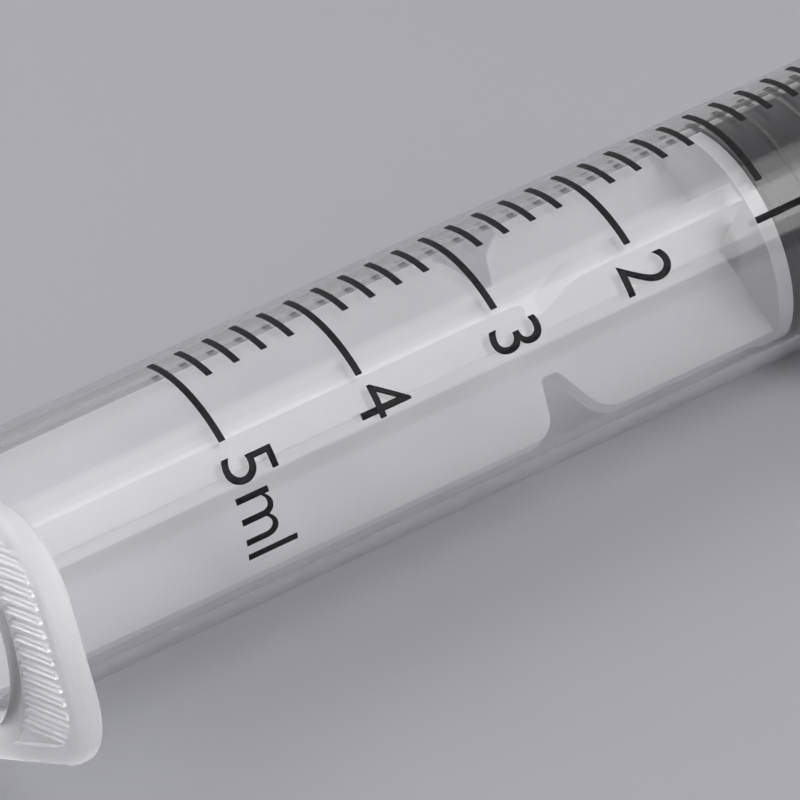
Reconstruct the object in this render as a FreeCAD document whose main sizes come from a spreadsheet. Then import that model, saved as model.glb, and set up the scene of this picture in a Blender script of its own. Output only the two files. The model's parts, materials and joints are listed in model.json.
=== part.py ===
import FreeCAD, Part
import math
import os
import Sketcher
from FreeCAD import Placement, Rotation, Vector

# Five millilitre feeding syringe, lying on its finger flange and the front edge of its barrel.
# Every piece is drawn along its own X axis, from the flange's rear face at X = 0 towards the nozzle.
# Angles round the axis are counted from +Y towards +Z.

SIZES = [
    ("bore_radius", 6.15, "inside radius of the barrel"),
    ("barrel_wall", 0.75, "wall of the barrel tube"),
    ("capacity", 5, "largest volume on the scale, ml"),
    ("top_line_offset", 15.1, "flange's rear face to the line of the largest volume"),
    ("dead_space", 0.1, "room left between the zero line and the cone"),
    ("front_cone", 1.5, "length of the cone inside the barrel's front"),
    ("front_wall", 1.5, "wall of the barrel's front"),
    ("front_chamfer", 0.6, "bevel on the barrel's front edge"),
    ("nozzle_length", 9.6, "length of the nozzle"),
    ("nozzle_base_radius", 2.26, "nozzle's radius at its root"),
    ("nozzle_straight", 4.2, "straight part of the nozzle, at its root"),
    ("nozzle_tip_radius", 1.98, "nozzle's radius at its end"),
    ("nozzle_bore_radius", 1.05, "passage through the nozzle"),
    ("nozzle_shoulder", 1.0, "ring of front wall round the nozzle's root"),
    ("flange_thickness", 1.3, "finger flange"),
    ("wing_reach", 6.4, "barrel's outside to the end of each wing"),
    ("flange_lip", 1.7, "barrel's outside to the sides of the flange"),
    ("flange_slant", 10.2, "slant of the wings' sides, degrees"),
    ("flange_corner", 4.6, "rounding of the wings' corners"),
    ("flange_rear_round", 0.7, "rounding of the flange's rear edge"),
    ("flange_front_round", 0.3, "rounding of the flange's front edge"),
    ("flange_root", 0.5, "bevel between flange and tube"),
    ("collar_overlap", 0.6, "smooth ring round the mouth, past the panels' sides"),
    ("panel_border", 1.2, "smooth border round the grip panels"),
    ("panel_depth", 0.35, "depth of the grip panels"),
    ("ridge_height", 0.28, "height of the grip ridges"),
    ("ridge_width", 0.32, "width of a grip ridge"),
    ("ridge_pitch", 0.75, "spacing of the grip ridges"),
    ("ridge_count", 15, "number of grip ridges"),
    ("mouth_flare", 0.7, "widening of the bore at the flange's rear face"),
    ("mouth_depth", 1.6, "length of the flare"),
    ("bead_offset", 3.4, "flange's rear face to the retaining bead"),
    ("bead_height", 0.17, "height of the retaining bead"),
    ("bead_half_width", 0.6, "half the width of the retaining bead"),
    ("seal_clearance", 0.05, "gap between the gasket's ribs and the bore"),
    ("travel_left", 0.8, "front sealing edge to the zero line, as stored"),
    ("gasket_length", 7.6, "rear face of the gasket to its front sealing edge"),
    ("gasket_groove", 0.35, "depth of the grooves between the sealing ribs"),
    ("gasket_rib_width", 0.75, "width of a sealing rib"),
    ("gasket_rib_bevel", 0.12, "bevel on a sealing rib"),
    ("gasket_ribs", 4, "number of sealing ribs"),
    ("gasket_cone", 1.3, "height of the gasket's front cone"),
    ("gasket_nose_radius", 1.3, "flat on the front cone"),
    ("socket_clearance", 0.05, "gap between rod head and gasket"),
    ("neck_radius", 1.9, "neck of the rod inside the gasket"),
    ("neck_length", 1.6, "length of the neck"),
    ("head_radius", 3.0, "head of the rod inside the gasket"),
    ("head_length", 2.6, "length of the head"),
    ("head_bevel", 0.8, "bevel on the head's front edge"),
    ("disc_clearance", 0.1, "gap between the rod's front disc and the bead"),
    ("disc_thickness", 0.9, "thickness of the front disc"),
    ("rib_clearance", 0.47, "gap between the rod's ribs and the bore"),
    ("rib_thickness", 1.1, "thickness of the rod's ribs"),
    ("notch_offset", 12.3, "middle of the notch to the front disc's rear face"),
    ("notch_floor", 2.85, "axis to the floor of the notch"),
    ("notch_floor_half", 0.5, "half the width of the notch's floor"),
    ("notch_mouth_half", 1.6, "half the width of the notch at the rib's edge"),
    ("notch_shoulder", 1.5, "rounding of the notch's shoulders"),
    ("notch_root", 0.35, "rounding of the notch's floor"),
    ("thumb_gap", 9.0, "flange's rear face to the thumb disc, as stored"),
    ("thumb_radius", 7.4, "thumb disc"),
    ("thumb_thickness", 1.5, "thickness of the thumb disc"),
    ("thumb_bevel", 0.4, "bevel on the thumb disc's rear edge"),
    ("thumb_dish_radius", 5.2, "shallow dish in the thumb disc"),
    ("thumb_dish_depth", 0.4, "depth of the dish"),
    ("blade_angle", 38.3, "turn of the rod's ribs round the axis, degrees"),
    ("line_width", 0.38, "width of a printed line"),
    ("ink_thickness", 0.05, "thickness of the print"),
    ("line_start", 75.8, "where the lines begin, degrees round the axis"),
    ("long_line", 57.0, "arc of a whole millilitre's line, degrees"),
    ("short_line", 25.8, "arc of a line between, degrees"),
    ("print_lean", 0.15, "lean of the scale round the barrel, degrees per millimetre"),
    ("lines_per_ml", 5, "graduations in a millilitre"),
]

# Places and sizes that follow from the ones above.
DERIVED = [
    ("barrel_radius", "bore_radius + barrel_wall"),
    ("flange_tip", "barrel_radius + wing_reach"),
    ("flange_side", "barrel_radius + flange_lip"),
    ("mouth_radius", "bore_radius + mouth_flare"),
    ("ml_pitch", "1000 / (pi * bore_radius ^ 2)"),
    ("line_pitch", "ml_pitch / lines_per_ml"),
    ("zero_line", "top_line_offset + capacity * ml_pitch"),
    ("bore_end", "zero_line + dead_space"),
    ("cone_end", "bore_end + front_cone"),
    ("shoulder_start", "bore_end + front_wall - front_chamfer"),
    ("shoulder_end", "bore_end + front_wall"),
    ("shoulder_radius", "barrel_radius - front_chamfer"),
    ("nozzle_root", "cone_end + front_wall"),
    ("nozzle_ring_radius", "nozzle_base_radius + nozzle_shoulder"),
    ("nozzle_taper_start", "nozzle_root + nozzle_straight"),
    ("nozzle_end", "nozzle_root + nozzle_length"),
    ("flange_root_radius", "barrel_radius + flange_root"),
    ("flange_root_end", "flange_thickness + flange_root"),
    ("foot_along", "flange_side * sin(flange_slant * 1deg)"),
    ("foot_across", "flange_side * cos(flange_slant * 1deg)"),
    ("tip_half", "(flange_side - flange_tip * sin(flange_slant * 1deg)) / cos(flange_slant * 1deg)"),
    ("wing_angle", "180 - flange_slant"),
    ("panel_tip", "flange_tip - panel_border"),
    ("panel_side", "flange_side - panel_border"),
    ("collar_radius", "panel_side + collar_overlap"),
    ("panel_corner", "flange_corner - panel_border"),
    ("panel_corner_along", "panel_tip - panel_corner"),
    ("panel_corner_across",
     "(panel_side - panel_corner - panel_corner_along * sin(flange_slant * 1deg)) / cos(flange_slant * 1deg)"),
    ("panel_side_along", "panel_corner_along + panel_corner * sin(flange_slant * 1deg)"),
    ("panel_side_across", "panel_corner_across + panel_corner * cos(flange_slant * 1deg)"),
    ("panel_root_reach", "sqrt(collar_radius ^ 2 - panel_side ^ 2)"),
    ("panel_root_along",
     "panel_side * sin(flange_slant * 1deg) + panel_root_reach * cos(flange_slant * 1deg)"),
    ("panel_root_across",
     "panel_side * cos(flange_slant * 1deg) - panel_root_reach * sin(flange_slant * 1deg)"),
    ("panel_floor", "panel_depth"),
    ("ridge_half", "ridge_width / 2"),
    ("ridge_reach", "flange_tip - 1.5 * panel_border"),
    ("ridge_span", "ridge_pitch * (ridge_count - 1)"),
    ("ridge_first_low", "-ridge_span / 2 - ridge_half"),
    ("ridge_first_high", "-ridge_span / 2 + ridge_half"),
    ("bead_radius", "bore_radius - bead_height"),
    ("disc_radius", "bead_radius - disc_clearance"),
    ("rib_radius", "bore_radius - rib_clearance"),
    ("bead_start", "bead_offset - bead_half_width"),
    ("bead_end", "bead_offset + bead_half_width"),
    ("seal_radius", "bore_radius - seal_clearance"),
    ("groove_radius", "seal_radius - gasket_groove"),
    ("seal_bevel_radius", "seal_radius - gasket_rib_bevel"),
    ("gasket_front", "zero_line - travel_left"),
    ("gasket_rear", "gasket_front - gasket_length"),
    ("gasket_nose", "gasket_front + gasket_cone"),
    ("gasket_rib_span", "gasket_length - gasket_rib_width"),
    ("first_rib_bevel", "gasket_rear + gasket_rib_bevel"),
    ("first_rib_flat", "gasket_rear + gasket_rib_width - gasket_rib_bevel"),
    ("first_rib_end", "gasket_rear + gasket_rib_width"),
    ("disc_front", "gasket_rear - socket_clearance"),
    ("disc_rear", "disc_front - disc_thickness"),
    ("neck_end", "disc_front + neck_length"),
    ("head_end", "neck_end + head_length"),
    ("head_bevel_start", "head_end - head_bevel"),
    ("head_nose_radius", "head_radius - head_bevel"),
    ("neck_hole_radius", "neck_radius + socket_clearance"),
    ("head_hole_radius", "head_radius + socket_clearance"),
    ("head_hole_start", "neck_end - socket_clearance"),
    ("head_hole_end", "head_end + socket_clearance"),
    ("head_hole_bevel", "head_hole_end - head_bevel"),
    ("head_hole_nose", "head_hole_radius - head_bevel"),
    ("rib_foot_radius", "groove_radius - 0.5 * gasket_groove"),
    ("rib_half", "rib_thickness / 2"),
    ("rib_length", "disc_rear + thumb_gap"),
    ("notch_middle", "disc_rear - notch_offset"),
    ("notch_rise", "rib_radius - notch_floor"),
    ("notch_run", "notch_mouth_half - notch_floor_half"),
    ("notch_wall", "sqrt(notch_rise ^ 2 + notch_run ^ 2)"),
    ("notch_tangent_ratio", "notch_rise / (notch_wall + notch_run)"),
    ("shoulder_tangent", "notch_shoulder * notch_tangent_ratio"),
    ("root_tangent", "notch_root * notch_tangent_ratio"),
    ("notch_floor_start", "notch_middle - notch_floor_half + root_tangent"),
    ("notch_floor_end", "notch_middle + notch_floor_half - root_tangent"),
    ("notch_root_reach", "notch_floor_half + root_tangent * notch_run / notch_wall"),
    ("notch_root_left", "notch_middle - notch_root_reach"),
    ("notch_root_right", "notch_middle + notch_root_reach"),
    ("notch_root_top", "notch_floor + root_tangent * notch_rise / notch_wall"),
    ("notch_wall_reach", "notch_mouth_half - shoulder_tangent * notch_run / notch_wall"),
    ("notch_wall_left", "notch_middle - notch_wall_reach"),
    ("notch_wall_right", "notch_middle + notch_wall_reach"),
    ("notch_wall_top", "rib_radius - shoulder_tangent * notch_rise / notch_wall"),
    ("notch_mouth_left", "notch_middle - notch_mouth_half - shoulder_tangent"),
    ("notch_mouth_right", "notch_middle + notch_mouth_half + shoulder_tangent"),
    ("notch_top", "rib_radius + 1"),
    ("thumb_front", "-thumb_gap"),
    ("thumb_rear", "thumb_front - thumb_thickness"),
    ("thumb_bevel_end", "thumb_rear + thumb_bevel"),
    ("thumb_edge_radius", "thumb_radius - thumb_bevel"),
    ("thumb_dish_floor", "thumb_rear + thumb_dish_depth"),
    ("thumb_dish_floor_radius", "thumb_dish_radius - thumb_dish_depth"),
    ("line_half", "line_width / 2"),
    ("ink_radius", "barrel_radius + ink_thickness"),
]

doc = FreeCAD.newDocument("feeding_syringe")
sheet = doc.addObject("Spreadsheet::Sheet", "Sizes")
for row, (alias, number, meaning) in enumerate(SIZES, start=1):
    sheet.set(f"A{row}", meaning)
    sheet.set(f"B{row}", str(number))
    sheet.setAlias(f"B{row}", alias)
for row, (alias, formula) in enumerate(DERIVED, start=1):
    sheet.set(f"D{row}", "=" + formula)
    sheet.setAlias(f"D{row}", alias)
doc.recompute()


def size(alias):
    """The sheet's value of one alias."""
    return float(getattr(sheet, alias))


def new_body(label):
    body = doc.addObject("PartDesign::Body", label)
    body.Label = label
    body.AllowCompound = True
    return body


def new_sketch(body, name, role, offset=None, turn=None, along=None):
    """A sketch on one of the body's own planes, moved along its normal and turned about its normal or its X axis."""
    sketch = body.newObject("Sketcher::SketchObject", name)
    plane = [item for item in body.Origin.OriginFeatures if item.Role == role][0]
    sketch.AttachmentSupport = [(plane, "")]
    sketch.MapMode = "FlatFace"
    axis = Vector(1, 0, 0) if along else Vector(0, 0, 1)
    sketch.AttachmentOffset = Placement(Vector(0, 0, 0), Rotation(axis, 1))
    if offset:
        sketch.setExpression(".AttachmentOffset.Base.z", f"{sheet.Name}.{offset} * 1mm")
    sketch.setExpression(".AttachmentOffset.Rotation.Angle", f"({turn or along or '0'}) * 1deg")
    return sketch


def pin_vertex(sketch, edge, end, alias, vertical):
    """Holds one vertex at a signed distance from the origin along one axis."""
    if alias is None:
        sketch.addConstraint(Sketcher.Constraint("PointOnObject", edge, end, -1 if vertical else -2))
        return
    kind = "DistanceY" if vertical else "DistanceX"
    sign = -1 if alias.startswith("-") else 1
    name = alias.lstrip("-")
    number = sketch.addConstraint(Sketcher.Constraint(kind, -1, 1, edge, end, sign * size(name)))
    sketch.setExpression(f"Constraints[{number}]", f"{'-' if sign < 0 else ''}{sheet.Name}.{name} * 1mm")


def signed_size(alias):
    return 0.0 if alias is None else (-1 if alias.startswith("-") else 1) * size(alias.lstrip("-"))


def closed_outline(sketch, vertices, arcs=None):
    """Edges through the vertices in turn. An edge in arcs bends with the radius named, to the right after a minus."""
    arcs = arcs or {}
    spots = [Vector(signed_size(across), signed_size(up), 0) for across, up in vertices]
    count = len(spots)
    first_ends, last_ends = [], []
    for index, start in enumerate(spots):
        stop = spots[(index + 1) % count]
        if index in arcs:
            radius = signed_size(arcs[index])
            chord = stop - start
            reach = math.copysign(math.sqrt(radius ** 2 - (chord.Length / 2) ** 2), radius)
            centre = (start + stop) * 0.5 + Vector(-chord.y, chord.x, 0).normalize() * reach
            begin = math.atan2(start.y - centre.y, start.x - centre.x)
            sweep = (math.atan2(stop.y - centre.y, stop.x - centre.x) - begin + math.pi) % math.tau - math.pi
            circle = Part.Circle(centre, Vector(0, 0, 1), abs(radius))
            arc = Part.ArcOfCircle(circle, min(begin, begin + sweep), max(begin, begin + sweep))
            edge = sketch.addGeometry(arc, False)
            number = sketch.addConstraint(Sketcher.Constraint("Radius", edge, abs(radius)))
            sketch.setExpression(f"Constraints[{number}]", f"{sheet.Name}.{arcs[index].lstrip('-')} * 1mm")
            first_ends.append((edge, 1 if sweep > 0 else 2))
            last_ends.append((edge, 2 if sweep > 0 else 1))
        else:
            edge = sketch.addGeometry(Part.LineSegment(start, stop), False)
            first_ends.append((edge, 1))
            last_ends.append((edge, 2))
    for index in range(count):
        following = first_ends[(index + 1) % count]
        sketch.addConstraint(Sketcher.Constraint("Coincident", *last_ends[index], *following))
    for index, (across, up) in enumerate(vertices):
        pin_vertex(sketch, *first_ends[index], across, False)
        pin_vertex(sketch, *first_ends[index], up, True)


def turned(body, name, kind, sketch):
    """A full turn of a sketch about the X axis."""
    feature = body.newObject(kind, name)
    feature.Profile = sketch
    feature.ReferenceAxis = (sketch, ["H_Axis"])
    feature.Angle = 360
    return feature


def rounded(body, name, base, edges, radius):
    """A fillet on chosen edges of the feature before it."""
    feature = body.newObject("PartDesign::Fillet", name)
    feature.Base = (base, edges)
    feature.setExpression("Radius", f"{sheet.Name}.{radius} * 1mm")
    doc.recompute()
    return feature


def edge_names(shape, wanted):
    """Names of the edges that pass a test."""
    return [f"Edge{number}" for number, edge in enumerate(shape.Edges, start=1) if wanted(edge)]


def cut_away(words, before, after):
    """Makes sure that a cut took something."""
    if after.Shape.Volume > before.Shape.Volume - 0.01:
        raise RuntimeError(f"{words} removed nothing")


# Barrel: finger flange.
barrel = new_body("barrel")
outline = new_sketch(barrel, "flange_outline", "YZ_Plane", turn="Sizes.wing_angle")
closed_outline(outline, [
    ("flange_tip", "-tip_half"), ("flange_tip", "tip_half"), ("foot_along", "foot_across"),
    ("-foot_along", "foot_across"), ("-flange_tip", "tip_half"), ("-flange_tip", "-tip_half"),
    ("-foot_along", "-foot_across"), ("foot_along", "-foot_across")], arcs={2: "flange_side", 6: "flange_side"})
plate = barrel.newObject("PartDesign::Pad", "flange_plate")
plate.Profile = outline
plate.setExpression("Length", "Sizes.flange_thickness * 1mm")
doc.recompute()

thickness = size("flange_thickness")
corner_edges = edge_names(plate.Shape, lambda edge: edge.Length < thickness + 0.001
                          and math.hypot(edge.CenterOfMass.y, edge.CenterOfMass.z) > size("flange_tip") + 0.01)
corners = rounded(barrel, "flange_corners", plate, corner_edges, "flange_corner")
rear_edges = edge_names(corners.Shape, lambda edge: edge.BoundBox.XMax < 0.01)
rear_round = rounded(barrel, "flange_rear_rounding", corners, rear_edges, "flange_rear_round")
front_edges = edge_names(rear_round.Shape, lambda edge: edge.BoundBox.XMin > thickness - 0.01)
front_round = rounded(barrel, "flange_front_rounding", rear_round, front_edges, "flange_front_round")

# Grip panels sunk into the rear face of both wings.
panel_outline = new_sketch(barrel, "panel_outline", "YZ_Plane", turn="Sizes.wing_angle")
closed_outline(panel_outline, [
    ("panel_tip", "-panel_corner_across"), ("panel_tip", "panel_corner_across"),
    ("panel_side_along", "panel_side_across"), ("panel_root_along", "panel_root_across"),
    ("panel_root_along", "-panel_root_across"), ("panel_side_along", "-panel_side_across")],
    arcs={1: "panel_corner", 3: "-collar_radius", 5: "panel_corner"})
panel = barrel.newObject("PartDesign::Pocket", "panel")
panel.Profile = panel_outline
panel.Reversed = True
panel.setExpression("Length", "Sizes.panel_depth * 1mm")
panels = barrel.newObject("PartDesign::PolarPattern", "panels")
panels.Originals = [panel]
panels.Axis = (outline, ["N_Axis"])
panels.Angle = 360
panels.Occurrences = 2
barrel.Tip = panels
doc.recompute()
cut_away("the grip panels", front_round, panels)

# Grip ridges: bars that run along both wings and show only inside the panels.
ridge_outline = new_sketch(barrel, "ridge_outline", "YZ_Plane", offset="panel_floor", turn="Sizes.wing_angle")
closed_outline(ridge_outline, [
    ("-ridge_reach", "ridge_first_low"), ("ridge_reach", "ridge_first_low"),
    ("ridge_reach", "ridge_first_high"), ("-ridge_reach", "ridge_first_high")])
ridge = barrel.newObject("PartDesign::Pad", "ridge")
ridge.Profile = ridge_outline
ridge.Reversed = True
ridge.setExpression("Length", "Sizes.ridge_height * 1mm")
ridges = barrel.newObject("PartDesign::LinearPattern", "ridges")
ridges.Originals = [ridge]
ridges.Direction = (ridge_outline, ["V_Axis"])
ridges.setExpression("Length", "Sizes.ridge_span * 1mm")
ridges.setExpression("Occurrences", "Sizes.ridge_count")
barrel.Tip = ridges
doc.recompute()

# Barrel: tube, front and nozzle in one turned form, then its bore with the flared mouth and the retaining bead.
tube_profile = new_sketch(barrel, "tube_profile", "XZ_Plane")
closed_outline(tube_profile, [
    (None, None), (None, "flange_root_radius"), ("flange_thickness", "flange_root_radius"),
    ("flange_root_end", "barrel_radius"), ("shoulder_start", "barrel_radius"), ("shoulder_end", "shoulder_radius"),
    ("nozzle_root", "nozzle_ring_radius"), ("nozzle_root", "nozzle_base_radius"),
    ("nozzle_taper_start", "nozzle_base_radius"), ("nozzle_end", "nozzle_tip_radius"), ("nozzle_end", None)])
tube = turned(barrel, "tube", "PartDesign::Revolution", tube_profile)
bore_profile = new_sketch(barrel, "bore_profile", "XZ_Plane")
closed_outline(bore_profile, [
    (None, None), (None, "mouth_radius"), ("mouth_depth", "bore_radius"), ("bead_start", "bore_radius"),
    ("bead_offset", "bead_radius"), ("bead_end", "bore_radius"), ("bore_end", "bore_radius"),
    ("cone_end", "nozzle_bore_radius"), ("nozzle_end", "nozzle_bore_radius"), ("nozzle_end", None)])
bore = turned(barrel, "bore", "PartDesign::Groove", bore_profile)
doc.recompute()
cut_away("the bore", tube, bore)

# Plunger rod: thumb disc, four ribs, front disc, and the headed neck that snaps into the gasket.
rod = new_body("plunger_rod")
rib_outline = new_sketch(rod, "rib_outline", "YZ_Plane", offset="thumb_front", turn="Sizes.blade_angle")
closed_outline(rib_outline, [
    ("rib_radius", "-rib_half"), ("rib_radius", "rib_half"), ("rib_half", "rib_half"), ("rib_half", "rib_radius"),
    ("-rib_half", "rib_radius"), ("-rib_half", "rib_half"), ("-rib_radius", "rib_half"), ("-rib_radius", "-rib_half"),
    ("-rib_half", "-rib_half"), ("-rib_half", "-rib_radius"), ("rib_half", "-rib_radius"), ("rib_half", "-rib_half")])
ribs = rod.newObject("PartDesign::Pad", "ribs")
ribs.Profile = rib_outline
ribs.setExpression("Length", "Sizes.rib_length * 1mm")
doc.recompute()
notch_outline = new_sketch(rod, "notch_outline", "XZ_Plane", along="Sizes.blade_angle - 90")
closed_outline(notch_outline, [
    ("notch_floor_start", "notch_floor"), ("notch_floor_end", "notch_floor"), ("notch_root_right", "notch_root_top"),
    ("notch_wall_right", "notch_wall_top"), ("notch_mouth_right", "rib_radius"), ("notch_mouth_right", "notch_top"),
    ("notch_mouth_left", "notch_top"), ("notch_mouth_left", "rib_radius"), ("notch_wall_left", "notch_wall_top"),
    ("notch_root_left", "notch_root_top")],
    arcs={1: "notch_root", 3: "-notch_shoulder", 7: "-notch_shoulder", 9: "notch_root"})
notch = rod.newObject("PartDesign::Pocket", "notch")
notch.Profile = notch_outline
notch.Midplane = True
notch.setExpression("Length", "Sizes.rib_thickness * 3mm")
notches = rod.newObject("PartDesign::PolarPattern", "notches")
notches.Originals = [notch]
notches.Axis = (rib_outline, ["N_Axis"])
notches.Angle = 360
notches.Occurrences = 4
rod.Tip = notches
doc.recompute()
cut_away("the notches", ribs, notches)

thumb_profile = new_sketch(rod, "thumb_profile", "XZ_Plane")
closed_outline(thumb_profile, [
    ("thumb_dish_floor", None), ("thumb_dish_floor", "thumb_dish_floor_radius"), ("thumb_rear", "thumb_dish_radius"),
    ("thumb_rear", "thumb_edge_radius"), ("thumb_bevel_end", "thumb_radius"), ("thumb_front", "thumb_radius"),
    ("thumb_front", None)])
thumb = turned(rod, "thumb_disc", "PartDesign::Revolution", thumb_profile)
head_profile = new_sketch(rod, "head_profile", "XZ_Plane")
closed_outline(head_profile, [
    ("disc_rear", None), ("disc_rear", "disc_radius"), ("disc_front", "disc_radius"), ("disc_front", "neck_radius"),
    ("neck_end", "neck_radius"), ("neck_end", "head_radius"), ("head_bevel_start", "head_radius"),
    ("head_end", "head_nose_radius"), ("head_end", None)])
head = turned(rod, "front_disc_and_head", "PartDesign::Revolution", head_profile)
doc.recompute()

# Gasket: a rubber cap over the rod's head, with sealing ribs.
gasket = new_body("gasket")
gasket_profile = new_sketch(gasket, "gasket_profile", "XZ_Plane")
closed_outline(gasket_profile, [
    ("gasket_rear", "neck_hole_radius"), ("gasket_rear", "groove_radius"), ("gasket_front", "groove_radius"),
    ("gasket_nose", "gasket_nose_radius"), ("gasket_nose", None), ("head_hole_end", None),
    ("head_hole_end", "head_hole_nose"), ("head_hole_bevel", "head_hole_radius"),
    ("head_hole_start", "head_hole_radius"), ("head_hole_start", "neck_hole_radius")])
cap = turned(gasket, "cap", "PartDesign::Revolution", gasket_profile)
rib_profile = new_sketch(gasket, "sealing_rib_profile", "XZ_Plane")
closed_outline(rib_profile, [
    ("gasket_rear", "rib_foot_radius"), ("gasket_rear", "seal_bevel_radius"), ("first_rib_bevel", "seal_radius"),
    ("first_rib_flat", "seal_radius"), ("first_rib_end", "seal_bevel_radius"), ("first_rib_end", "rib_foot_radius")])
sealing_rib = turned(gasket, "sealing_rib", "PartDesign::Revolution", rib_profile)
sealing_ribs = gasket.newObject("PartDesign::LinearPattern", "sealing_ribs")
sealing_ribs.Originals = [sealing_rib]
sealing_ribs.Direction = (rib_profile, ["H_Axis"])
sealing_ribs.setExpression("Length", "Sizes.gasket_rib_span * 1mm")
sealing_ribs.setExpression("Occurrences", "Sizes.gasket_ribs")
gasket.Tip = sealing_ribs
doc.recompute()

# Printed scale: one arc of ink for each graduation, the whole millilitres longer.
marks = new_body("scale_marks")
line_count = round(size("capacity") * size("lines_per_ml"))
middle_line = "Sizes.capacity / 2 * Sizes.ml_pitch"
for index in range(line_count + 1):
    away = f"({index} * Sizes.line_pitch)"
    lean = f"Sizes.print_lean * ({middle_line} - {away})"
    line_sketch = new_sketch(marks, f"line_sketch_{index}", "XZ_Plane", along=f"Sizes.line_start + {lean} - 90")
    centre = size("top_line_offset") + index * size("line_pitch")
    low, high = size("barrel_radius"), size("ink_radius")
    half = size("line_half")
    spots = [Vector(centre - half, low, 0), Vector(centre + half, low, 0),
             Vector(centre + half, high, 0), Vector(centre - half, high, 0)]
    for corner in range(4):
        line_sketch.addGeometry(Part.LineSegment(spots[corner], spots[(corner + 1) % 4]), False)
    for corner in range(4):
        line_sketch.addConstraint(Sketcher.Constraint("Coincident", corner, 2, (corner + 1) % 4, 1))
        kind = "Horizontal" if corner % 2 == 0 else "Vertical"
        line_sketch.addConstraint(Sketcher.Constraint(kind, corner))
    held = [("DistanceX", 0, 1, f"Sizes.top_line_offset + {away} - Sizes.line_half"),
            ("DistanceX", 0, 2, f"Sizes.top_line_offset + {away} + Sizes.line_half"),
            ("DistanceY", 0, 1, "Sizes.barrel_radius"), ("DistanceY", 2, 1, "Sizes.ink_radius")]
    for kind, edge, end, words in held:
        spot = spots[edge + end - 1]
        number = line_sketch.addConstraint(
            Sketcher.Constraint(kind, -1, 1, edge, end, spot.x if kind == "DistanceX" else spot.y))
        line_sketch.setExpression(f"Constraints[{number}]", f"({words}) * 1mm")
    line = turned(marks, f"line_{index}", "PartDesign::Revolution", line_sketch)
    whole = index % round(size("lines_per_ml")) == 0
    line.setExpression("Angle", f"Sizes.{'long_line' if whole else 'short_line'} * 1deg")
doc.recompute()

# The syringe lies on the flange's side and on the edge of its front shoulder, nose a little down.
lean_down = math.atan2(size("flange_side") - size("barrel_radius"),
                       size("shoulder_start") - size("flange_thickness") + size("flange_front_round"))
lying = Rotation(Vector(0, 1, 0), math.degrees(lean_down))
pieces = [barrel, rod, gasket, marks]
for body in pieces:
    body.Placement = Placement(Vector(0, 0, 0), lying)
doc.recompute()
boxes = [body.Shape.optimalBoundingBox(False, False) for body in pieces]
low_x = min(box.XMin for box in boxes)
high_x = max(box.XMax for box in boxes)
low_y = min(box.YMin for box in boxes)
high_y = max(box.YMax for box in boxes)
shift = Vector(-(low_x + high_x) / 2, -(low_y + high_y) / 2, -min(box.ZMin for box in boxes))
for body in pieces:
    body.Placement = Placement(shift, lying)
doc.recompute()

for item in doc.Objects:
    if "Invalid" in item.State or "Error" in item.State:
        raise RuntimeError(f"{item.Name} failed: {item.State}")
for body in pieces:
    if body.Shape.isNull() or not body.Shape.isValid() or body.Shape.Volume <= 0:
        raise RuntimeError(f"{body.Label} has no valid shape")
os.makedirs("parts", exist_ok=True)
for body in pieces:
    body.Shape.exportStep(f"parts/{body.Label}.step")
    print(body.Label, "solids", len(body.Shape.Solids), "volume", round(body.Shape.Volume, 3))
print("nose down by", round(math.degrees(lean_down), 4), "degrees; axis origin at",
      [round(value, 4) for value in shift])
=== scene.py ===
import json
import math

import bmesh
import bpy
from bpy.props import FloatProperty, FloatVectorProperty, PointerProperty
from mathutils import Euler, Matrix, Vector

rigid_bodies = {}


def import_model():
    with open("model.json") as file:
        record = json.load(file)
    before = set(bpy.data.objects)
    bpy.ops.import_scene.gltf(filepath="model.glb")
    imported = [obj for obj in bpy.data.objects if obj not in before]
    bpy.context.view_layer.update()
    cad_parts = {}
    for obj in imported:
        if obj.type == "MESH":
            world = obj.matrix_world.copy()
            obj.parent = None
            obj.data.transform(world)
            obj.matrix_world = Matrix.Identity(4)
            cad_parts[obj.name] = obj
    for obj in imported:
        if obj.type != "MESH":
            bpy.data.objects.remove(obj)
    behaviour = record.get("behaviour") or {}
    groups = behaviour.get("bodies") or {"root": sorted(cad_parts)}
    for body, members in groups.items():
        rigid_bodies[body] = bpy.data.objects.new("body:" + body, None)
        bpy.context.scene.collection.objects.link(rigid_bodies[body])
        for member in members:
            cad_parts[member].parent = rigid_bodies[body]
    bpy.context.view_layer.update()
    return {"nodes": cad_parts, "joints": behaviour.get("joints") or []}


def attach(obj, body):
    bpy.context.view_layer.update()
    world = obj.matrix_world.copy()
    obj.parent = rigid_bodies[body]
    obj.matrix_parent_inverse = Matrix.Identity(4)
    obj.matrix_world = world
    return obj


# The start-up scene's own objects aren't part of the syringe.
for leftover in list(bpy.data.objects):
    bpy.data.objects.remove(leftover)
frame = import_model()

bl_info = {
    "name": "Feeding Syringe",
    "version": (1, 0, 0),
    "blender": (4, 5, 0),
    "location": "3D View > Sidebar > Syringe",
    "description": "Dresses a packed feeding syringe: clear barrel, ribbed rod, rubber gasket and scale",
    "category": "Object",
}

MM = 0.001

# The axis runs from the flange to the nozzle. Distances along it start at the flange's rear face.
SLIDE, TURN = frame["joints"]
AXIS = Vector(SLIDE["axis"])
UP = Vector((-AXIS.z, 0.0, AXIS.x))
GASKET_REAR = 48.779 * MM
MOUTH = Vector(TURN["pos_m"]) - AXIS * GASKET_REAR

# The matt flange fades into the glossy tube between these distances.
MATT_END = 1.3 * MM
GLOSS_START = 2.6 * MM

CLEAR_IOR = 1.49
# Lower than the real plastic's, so that the ribs look milky and not like glass.
ROD_IOR = 1.2
# The share of a lamp's light that passes each surface.
BARREL_PASSES = 0.82
ROD_PASSES = 0.68

# Noise stays near its middle, so only this part of its range is spread out.
VALUE_SPAN = (0.3, 0.7)
COLOUR_SPAN = (0.35, 0.65)

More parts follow.
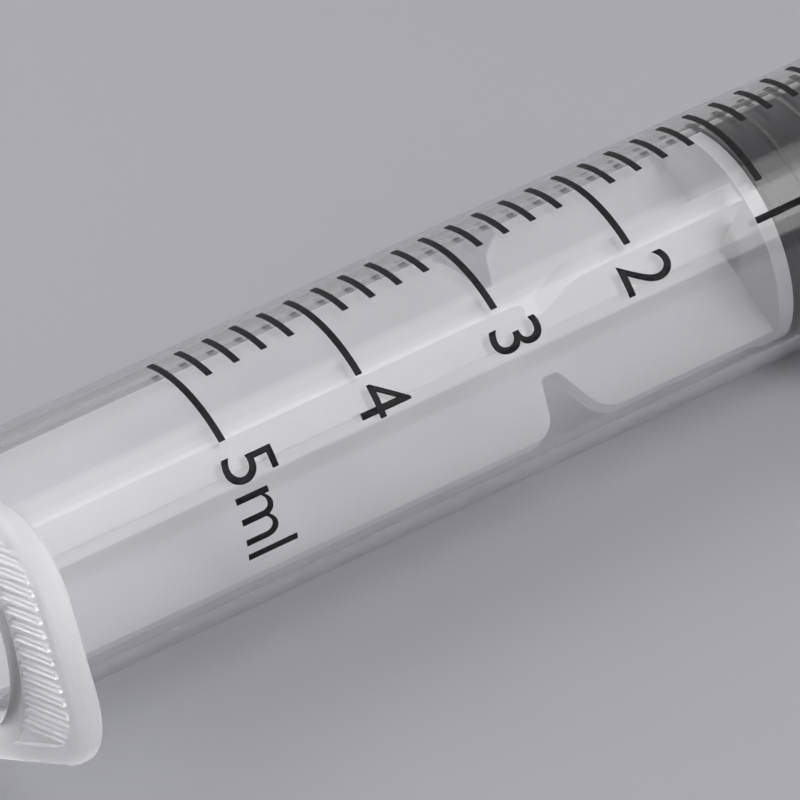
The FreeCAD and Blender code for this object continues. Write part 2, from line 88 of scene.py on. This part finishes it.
# The long line of 5 ml along the axis, and the distance from each long line to the next.
FIVE_LINE = 15.1 * MM
MILLILITRE = 8.416 * MM
# What is printed, how far past its line its middle lies in millimetres, and its middle's turn
# round the axis in degrees from the settings' angle.
WORDS = (
    ("5ml", 0.74, 2.0),
    ("4", 0.54, 0.1),
    ("3", 0.40, 0.0),
    ("2", 0.21, -1.3),
    ("1", 0.20, -1.3),
)
# The first letter's room in the font, whose letters are about 0.7 high.
FIRST_LETTER = 0.5
SAME_POINT = 0.0001
# A letter is cut into strips of this turn before it is bent.
STRIP_TURN = math.radians(3)
INK_CLEARANCE = 0.002 * MM
INK_ROUGHNESS = (0.38, 0.6)

TABLE_REACH = 3.0
SKY_BACK_DIRECTION = (0, 0.87, 0.5)
# The cosine from that direction at which the back fill starts, and where it is full.
SKY_FADE = (0.5, 1.0)

# The soft box mirrors in the barrel as the long highlight. It stands this way from the syringe,
# and its length runs across the barrel.
BOX_DIRECTION = Vector((0.43877, -0.58747, 0.67998))
BOX_LENGTHWISE = Vector((-0.01922, -0.76267, -0.64650))
BOX_HALF_ANGLE = math.radians(30.5)
BOX_WIDTH = 0.16
# Lamps in one plane would hide each other in the mirror, so each stands this much nearer.
LAMP_STEP = 0.01
# Each lamp's length beside the whole box's, its middle's place along the box, its middle's place
# across the box in metres, and its share of the power. The barrel doesn't mirror the last one.
LAMPS = (
    ("soft_box", 1.0, 0.0, 0.015, 0.187),
    ("soft_box_middle", 0.75, 0.25, 0.015, 0.094),
    ("soft_box_core", 0.45, 0.15, 0.015, 0.106),
    ("soft_box_side", 1.0, 0.0, -0.16, 0.613),
)
PANEL_DIRECTION = Vector((-0.52, 0.58, 0.62))
PANEL_SIDE = 0.5

CAMERA_PLACE = Vector((-232.303, -439.486, 290.979))
CAMERA_TURN = (59.7092, 10.3255, -33.6936)
LENS_MM = 501.77
SENSOR_MM = 36


class ClearPlasticSettings(bpy.types.PropertyGroup):
    tint: FloatVectorProperty(
        name="Tint", description="Colour of the clear plastic",
        subtype="COLOR", size=3, min=0, max=1, default=(0.95, 0.947, 0.962))
    clearness: FloatProperty(
        name="Clearness", description="Share of light that goes through rather than into the haze",
        subtype="FACTOR", min=0, max=1, default=0.98)
    gloss: FloatProperty(
        name="Roughness", description="Roughness of the moulded surface",
        subtype="FACTOR", min=0, max=1, default=0.06)
    flange_roughness: FloatProperty(
        name="Flange Roughness", description="Roughness of the matt finger flange",
        subtype="FACTOR", min=0, max=1, default=0.5)


class RodSettings(bpy.types.PropertyGroup):
    tint: FloatVectorProperty(
        name="Tint", description="Colour of the milky plastic",
        subtype="COLOR", size=3, min=0, max=1, default=(0.9, 0.895, 0.908))
    clearness: FloatProperty(
        name="Clearness", description="Share of light that goes through the ribs",
        subtype="FACTOR", min=0, max=1, default=0.71)
    roughness: FloatProperty(
        name="Roughness", description="Roughness of the ribs",
        subtype="FACTOR", min=0, max=1, default=0.33)


class RubberSettings(bpy.types.PropertyGroup):
    shade: FloatVectorProperty(
        name="Colour", description="Colour of the gasket",
        subtype="COLOR", size=3, min=0, max=1, default=(0.007, 0.007, 0.009))
    roughness: FloatProperty(
        name="Roughness", description="Roughness of the rubber",
        subtype="FACTOR", min=0, max=1, default=0.42)


class PrintSettings(bpy.types.PropertyGroup):
    shade: FloatVectorProperty(
        name="Ink", description="Colour of the print",
        subtype="COLOR", size=3, min=0, max=1, default=(0.009, 0.009, 0.010))
    height: FloatProperty(
        name="Numeral Height", description="Height of the numerals",
        unit="LENGTH", default=2.98 * MM)
    width: FloatProperty(
        name="Numeral Width", description="Width of the numerals beside the font's own",
        min=0.5, max=1.5, default=0.93)
    # Much above zero, the inside of the font's 4 fills up.
    boldness: FloatProperty(
        name="Boldness", description="Growth of the letters' strokes, beside the font's height",
        min=-0.02, max=0.1, default=-0.003)
    middle: FloatProperty(
        name="Numeral Middle", description="Middle of the numerals, round the axis",
        unit="ROTATION", default=math.radians(147.8))
    barrel_radius: FloatProperty(
        name="Barrel Radius", description="Surface that the print lies on",
        unit="LENGTH", default=6.9 * MM)
    thickness: FloatProperty(
        name="Print Thickness", description="Thickness of the ink",
        unit="LENGTH", default=0.04 * MM)


class StageSettings(bpy.types.PropertyGroup):
    table: FloatVectorProperty(
        name="Table", description="Colour of the table",
        subtype="COLOR", size=3, min=0, max=1, default=(0.4, 0.4, 0.436))
    sky_front: FloatProperty(
        name="Front Fill", description="Strength of the soft light from in front and above",
        min=0, default=0.165)
    sky_back: FloatProperty(
        name="Back Fill", description="Strength of the soft light from behind",
        min=0, default=0.4)
    lamp_distance: FloatProperty(
        name="Lamp Distance", description="Distance from the syringe to the soft box",
        unit="LENGTH", default=0.6)
    panel_power: FloatProperty(
        name="Panel Power", description="Power of the panel behind the flange's end",
        unit="POWER", min=0, default=3.1)
    lamp_power: FloatProperty(
        name="Lamp Power", description="Power of the whole soft box",
        unit="POWER", min=0, default=2.15)


def on_barrel(along, angle, radius):
    """A point by its distance along the axis, its angle round it and its distance from it."""
    outwards = Vector((0, 1, 0)) * math.cos(angle) + UP * math.sin(angle)
    return MOUTH + AXIS * along + outwards * radius


def scaled(colour, factor):
    """A lighter or darker colour."""
    return tuple(factor * part for part in colour)


def new_material(name):
    """A material with its tree, its output node and its shader."""
    material = bpy.data.materials.new(name)
    material.use_nodes = True
    tree = material.node_tree
    tree.nodes.clear()
    output = tree.nodes.new("ShaderNodeOutputMaterial")
    shader = tree.nodes.new("ShaderNodeBsdfPrincipled")
    tree.links.new(shader.outputs["BSDF"], output.inputs["Surface"])
    return material, tree, output, shader


def noise(tree, scale, detail, stretch=(1, 1, 1)):
    """Noise in object space, stretched along chosen axes."""
    place = tree.nodes.new("ShaderNodeTexCoord")
    mapping = tree.nodes.new("ShaderNodeMapping")
    mapping.inputs["Scale"].default_value = stretch
    texture = tree.nodes.new("ShaderNodeTexNoise")
    texture.inputs["Scale"].default_value = scale
    texture.inputs["Detail"].default_value = detail
    tree.links.new(place.outputs["Object"], mapping.inputs["Vector"])
    tree.links.new(mapping.outputs["Vector"], texture.inputs["Vector"])
    return texture.outputs["Fac"]


def map_range(tree, source, given, wanted):
    """A Map Range node from one pair of limits to another."""
    span = tree.nodes.new("ShaderNodeMapRange")
    for name, limit in zip(("From Min", "From Max", "To Min", "To Max"), (*given, *wanted)):
        span.inputs[name].default_value = limit
    tree.links.new(source, span.inputs["Value"])
    return span


def along_axis(tree, start, end, before, after):
    """A value that changes smoothly between two distances along the axis."""
    place = tree.nodes.new("ShaderNodeTexCoord")
    reach = tree.nodes.new("ShaderNodeVectorMath")
    reach.operation = "DOT_PRODUCT"
    reach.inputs[1].default_value = AXIS
    tree.links.new(place.outputs["Object"], reach.inputs[0])
    mouth = MOUTH.dot(AXIS)
    span = map_range(tree, reach.outputs["Value"], (mouth + start, mouth + end), (before, after))
    span.interpolation_type = "SMOOTHSTEP"
    return span.outputs["Result"]


def vary_colour(tree, source, shader, first, second):
    """The noise as a colour between two colours."""
    ramp = tree.nodes.new("ShaderNodeValToRGB")
    for stop, place, colour in zip(ramp.color_ramp.elements, COLOUR_SPAN, (first, second)):
        stop.position = place
        stop.color = (*colour, 1)
    tree.links.new(source, ramp.inputs["Fac"])
    tree.links.new(ramp.outputs["Color"], shader.inputs["Base Color"])


def vary_roughness(tree, source, shader, low, high):
    """The noise as a roughness between two limits."""
    span = map_range(tree, source, VALUE_SPAN, (low, high))
    tree.links.new(span.outputs["Result"], shader.inputs["Roughness"])


def uneven(tree, source, shader, distance, strength):
    """A shallow unevenness of the surface."""
    bump = tree.nodes.new("ShaderNodeBump")
    bump.inputs["Distance"].default_value = distance
    bump.inputs["Strength"].default_value = strength
    tree.links.new(source, bump.inputs["Height"])
    tree.links.new(bump.outputs["Normal"], shader.inputs["Normal"])


def let_lamps_through(tree, output, shader, share):
    """Lamps light what is inside the clear plastic, and its shadow stays soft."""
    path = tree.nodes.new("ShaderNodeLightPath")
    through = tree.nodes.new("ShaderNodeBsdfTransparent")
    through.inputs["Color"].default_value = (share, share, share, 1)
    both = tree.nodes.new("ShaderNodeMixShader")
    tree.links.new(path.outputs["Is Shadow Ray"], both.inputs["Fac"])
    tree.links.new(shader.outputs["BSDF"], both.inputs[1])
    tree.links.new(through.outputs["BSDF"], both.inputs[2])
    tree.links.new(both.outputs["Shader"], output.inputs["Surface"])


def dress(node, material):
    """Gives a CAD node its finish."""
    for slot in frame["nodes"][node].material_slots:
        slot.material = material


class SYRINGE_OT_barrel(bpy.types.Operator):
    """Clear barrel with its finger flange and nozzle"""
    bl_idname = "syringe.barrel"
    bl_label = "Dress Barrel"

    def execute(self, context):
        settings = context.scene.syringe_clear
        material, tree, output, shader = new_material("clear_barrel_plastic")
        ripple = noise(tree, scale=140, detail=2, stretch=(0.25, 1, 1))
        vary_colour(tree, ripple, shader, scaled(settings.tint, 0.97), settings.tint)
        matt = along_axis(tree, MATT_END, GLOSS_START, settings.flange_roughness, settings.gloss)
        tree.links.new(matt, shader.inputs["Roughness"])
        shader.inputs["Transmission Weight"].default_value = settings.clearness
        shader.inputs["IOR"].default_value = CLEAR_IOR
        uneven(tree, ripple, shader, distance=0.004 * MM, strength=0.2)
        let_lamps_through(tree, output, shader, BARREL_PASSES)
        dress("barrel", material)
        return {"FINISHED"}


class SYRINGE_OT_rod(bpy.types.Operator):
    """Milky plunger rod with its ribs, notches and thumb disc"""
    bl_idname = "syringe.rod"
    bl_label = "Dress Plunger Rod"

    def execute(self, context):
        settings = context.scene.syringe_rod
        material, tree, output, shader = new_material("milky_rod_plastic")
        flow = noise(tree, scale=160, detail=3, stretch=(0.2, 1, 1))
        vary_colour(tree, flow, shader, scaled(settings.tint, 0.95), settings.tint)
        satin = noise(tree, scale=1200, detail=3)
        vary_roughness(tree, satin, shader, 0.92 * settings.roughness, 1.15 * settings.roughness)
        shader.inputs["Transmission Weight"].default_value = settings.clearness
        shader.inputs["IOR"].default_value = ROD_IOR
        uneven(tree, flow, shader, distance=0.006 * MM, strength=0.2)
        let_lamps_through(tree, output, shader, ROD_PASSES)
        dress("plunger_rod", material)
        return {"FINISHED"}


class SYRINGE_OT_gasket(bpy.types.Operator):
    """Black rubber gasket on the rod's head"""
    bl_idname = "syringe.gasket"
    bl_label = "Dress Gasket"

    def execute(self, context):
        settings = context.scene.syringe_rubber
        material, tree, _, shader = new_material("black_rubber")
        bloom = noise(tree, scale=420, detail=3)
        vary_colour(tree, bloom, shader, settings.shade, scaled(settings.shade, 1.9))
        grain = noise(tree, scale=2600, detail=4)
        vary_roughness(tree, grain, shader, 0.8 * settings.roughness, 1.25 * settings.roughness)
        uneven(tree, grain, shader, distance=0.01 * MM, strength=0.3)
        shader.inputs["Specular IOR Level"].default_value = 0.25
        dress("gasket", material)
        return {"FINISHED"}


def print_material(settings):
    """Black ink with the slightly broken cover of a printed scale."""
    material, tree, _, shader = new_material("scale_print")
    speckle = noise(tree, scale=5200, detail=4)
    vary_colour(tree, speckle, shader, settings.shade, scaled(settings.shade, 2.4))
    vary_roughness(tree, speckle, shader, *INK_ROUGHNESS)
    uneven(tree, speckle, shader, distance=0.01 * MM, strength=0.4)
    shader.inputs["Specular IOR Level"].default_value = 0.2
    return material


def flat_letters(name, words, settings):
    """Letters in the XY plane at their real size, with the first one's middle at the origin."""
    curve = bpy.data.curves.new(name, "FONT")
    curve.body = words
    curve.offset = settings.boldness
    source = bpy.data.objects.new(name + "_text", curve)
    bpy.context.scene.collection.objects.link(source)
    bpy.context.view_layer.update()
    evaluated = source.evaluated_get(bpy.context.evaluated_depsgraph_get())
    flat = bpy.data.meshes.new_from_object(evaluated)
    bpy.data.objects.remove(source)

    shape = bmesh.new()
    shape.from_mesh(flat)
    bpy.data.meshes.remove(flat)
    bmesh.ops.remove_doubles(shape, verts=shape.verts, dist=SAME_POINT)
    low, high = min(v.co.y for v in shape.verts), max(v.co.y for v in shape.verts)
    scale = settings.height / (high - low)
    first = [v.co.x for v in shape.verts if v.co.x < FIRST_LETTER]
    middle = (min(first) + max(first)) / 2
    bmesh.ops.translate(shape, verts=shape.verts, vec=(-middle, -(low + high) / 2, 0))
    bmesh.ops.scale(shape, verts=shape.verts, vec=(scale * settings.width, scale, 1))
    return shape


def printed_words(name, words, along, turn, settings, material):
    """Letters bent round the barrel, tops towards the nozzle, reading down its side."""
    shape = flat_letters(name, words, settings)
    step = settings.barrel_radius * STRIP_TURN
    right = max(v.co.x for v in shape.verts)
    cut = min(v.co.x for v in shape.verts) + step
    while cut < right:
        bmesh.ops.bisect_plane(shape, geom=shape.verts[:] + shape.edges[:] + shape.faces[:],
                               plane_co=(cut, 0, 0), plane_no=(1, 0, 0))
        cut += step
    raised = bmesh.ops.extrude_face_region(shape, geom=shape.faces[:])
    top = {v for v in raised["geom"] if isinstance(v, bmesh.types.BMVert)}
    for v in shape.verts:
        height = settings.thickness if v in top else INK_CLEARANCE
        v.co = on_barrel(along + v.co.y, turn + v.co.x / settings.barrel_radius,
                         settings.barrel_radius + height)
    bmesh.ops.recalc_face_normals(shape, faces=shape.faces)
    mesh = bpy.data.meshes.new(name)
    shape.to_mesh(mesh)
    shape.free()
    piece = bpy.data.objects.new(name, mesh)
    bpy.context.scene.collection.objects.link(piece)
    mesh.materials.append(material)
    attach(piece, "barrel")


class SYRINGE_OT_scale(bpy.types.Operator):
    """Printed graduation lines, numerals and unit"""
    bl_idname = "syringe.scale"
    bl_label = "Print Scale"

    def execute(self, context):
        settings = context.scene.syringe_print
        material = print_material(settings)
        dress("scale_marks", material)
        for count, (words, past, turn) in enumerate(WORDS):
            line = FIVE_LINE + MILLILITRE * count
            printed_words(f"numeral_{words}", words, line + past * MM,
                          settings.middle + math.radians(turn), settings, material)
        return {"FINISHED"}


def add_table(scene, settings):
    """The pale table that the syringe lies on."""
    shape = bmesh.new()
    bmesh.ops.create_grid(shape, x_segments=8, y_segments=8, size=TABLE_REACH)
    mesh = bpy.data.meshes.new("table")
    shape.to_mesh(mesh)
    shape.free()
    table = bpy.data.objects.new("table", mesh)
    scene.collection.objects.link(table)
    material, tree, _, shader = new_material("table_surface")
    cloud = noise(tree, scale=9, detail=3)
    vary_colour(tree, cloud, shader, scaled(settings.table, 0.985), settings.table)
    shader.inputs["Roughness"].default_value = 0.55
    shader.inputs["Specular IOR Level"].default_value = 0.15
    mesh.materials.append(material)


def add_fill_light(scene, settings):
    """Soft light from all round, stronger from behind."""
    world = bpy.data.worlds.new("fill_light")
    world.use_nodes = True
    tree = world.node_tree
    place = tree.nodes.new("ShaderNodeTexCoord")
    facing = tree.nodes.new("ShaderNodeVectorMath")
    facing.operation = "DOT_PRODUCT"
    facing.inputs[1].default_value = SKY_BACK_DIRECTION
    tree.links.new(place.outputs["Generated"], facing.inputs[0])
    span = map_range(tree, facing.outputs["Value"], SKY_FADE,
                     (settings.sky_front, settings.sky_back))
    background = tree.nodes["Background"]
    tree.links.new(span.outputs["Result"], background.inputs["Strength"])
    background.inputs["Color"].default_value = (1, 1, 1, 1)
    scene.world = world


def add_lamp(scene, name, length, width, power, place, turn):
    """A lamp that is a lit rectangle."""
    light = bpy.data.lights.new(name, "AREA")
    light.shape = "RECTANGLE"
    light.size = length
    light.size_y = width
    light.energy = power
    lamp = bpy.data.objects.new(name, light)
    lamp.location = place
    lamp.rotation_euler = turn
    scene.collection.objects.link(lamp)


def add_soft_box(scene, settings):
    """Lamps in layers, which mirror as the long highlight, and one beside them."""
    far = settings.lamp_distance
    half = far * math.tan(BOX_HALF_ANGLE)
    widthwise = BOX_DIRECTION.cross(BOX_LENGTHWISE)
    turn = Matrix((BOX_LENGTHWISE, widthwise, BOX_DIRECTION)).transposed().to_euler()
    for count, (name, share, shift, aside, power) in enumerate(LAMPS):
        place = (BOX_DIRECTION * (far - LAMP_STEP * count)
                 + BOX_LENGTHWISE * half * shift + widthwise * aside)
        add_lamp(scene, name, 2 * half * share, BOX_WIDTH, settings.lamp_power * power,
                 place, turn)


def add_back_panel(scene, settings):
    """A square lamp behind the flange's end."""
    place = PANEL_DIRECTION.normalized() * settings.lamp_distance
    add_lamp(scene, "back_panel", PANEL_SIDE, PANEL_SIDE, settings.panel_power,
             place, place.to_track_quat("Z", "Y").to_euler())


def add_camera(scene):
    """A long lens from the photograph's side."""
    lens = bpy.data.cameras.new("camera")
    lens.sensor_width = SENSOR_MM
    lens.lens = LENS_MM
    lens.clip_start = 0.01
    lens.clip_end = 20
    camera = bpy.data.objects.new("camera", lens)
    camera.location = CAMERA_PLACE * MM
    camera.rotation_euler = Euler([math.radians(angle) for angle in CAMERA_TURN])
    scene.collection.objects.link(camera)
    scene.camera = camera


class SYRINGE_OT_stage(bpy.types.Operator):
    """Pale table, fill light, soft box, back panel and camera"""
    bl_idname = "syringe.stage"
    bl_label = "Set Stage"

    def execute(self, context):
        settings = context.scene.syringe_stage
        scene = context.scene
        add_table(scene, settings)
        add_fill_light(scene, settings)
        add_soft_box(scene, settings)
        add_back_panel(scene, settings)
        add_camera(scene)
        scene.view_settings.view_transform = "Standard"
        return {"FINISHED"}


class SYRINGE_PT_panel(bpy.types.Panel):
    """Settings and steps of the feeding syringe"""
    bl_idname = "SYRINGE_PT_panel"
    bl_label = "Feeding Syringe"
    bl_space_type = "VIEW_3D"
    bl_region_type = "UI"
    bl_category = "Syringe"

    def draw(self, context):
        for operator, group in STEPS:
            box = self.layout.box()
            settings = getattr(context.scene, group)
            for name in settings.bl_rna.properties.keys():
                if name not in ("rna_type", "name"):
                    box.prop(settings, name)
            box.operator(operator.bl_idname)


STEPS = (
    (SYRINGE_OT_barrel, "syringe_clear"),
    (SYRINGE_OT_rod, "syringe_rod"),
    (SYRINGE_OT_gasket, "syringe_rubber"),
    (SYRINGE_OT_scale, "syringe_print"),
    (SYRINGE_OT_stage, "syringe_stage"),
)
GROUPS = {
    "syringe_clear": ClearPlasticSettings,
    "syringe_rod": RodSettings,
    "syringe_rubber": RubberSettings,
    "syringe_print": PrintSettings,
    "syringe_stage": StageSettings,
}


def register():
    for name, group in GROUPS.items():
        bpy.utils.register_class(group)
        setattr(bpy.types.Scene, name, PointerProperty(type=group))
    for operator, _ in STEPS:
        bpy.utils.register_class(operator)
    bpy.utils.register_class(SYRINGE_PT_panel)


def unregister():
    bpy.utils.unregister_class(SYRINGE_PT_panel)
    for operator, _ in reversed(STEPS):
        bpy.utils.unregister_class(operator)
    for name, group in reversed(GROUPS.items()):
        delattr(bpy.types.Scene, name)
        bpy.utils.unregister_class(group)


def main():
    register()
    bpy.ops.syringe.barrel()
    bpy.ops.syringe.rod()
    bpy.ops.syringe.gasket()
    bpy.ops.syringe.scale()
    bpy.ops.syringe.stage()


if __name__ == "__main__":
    main()
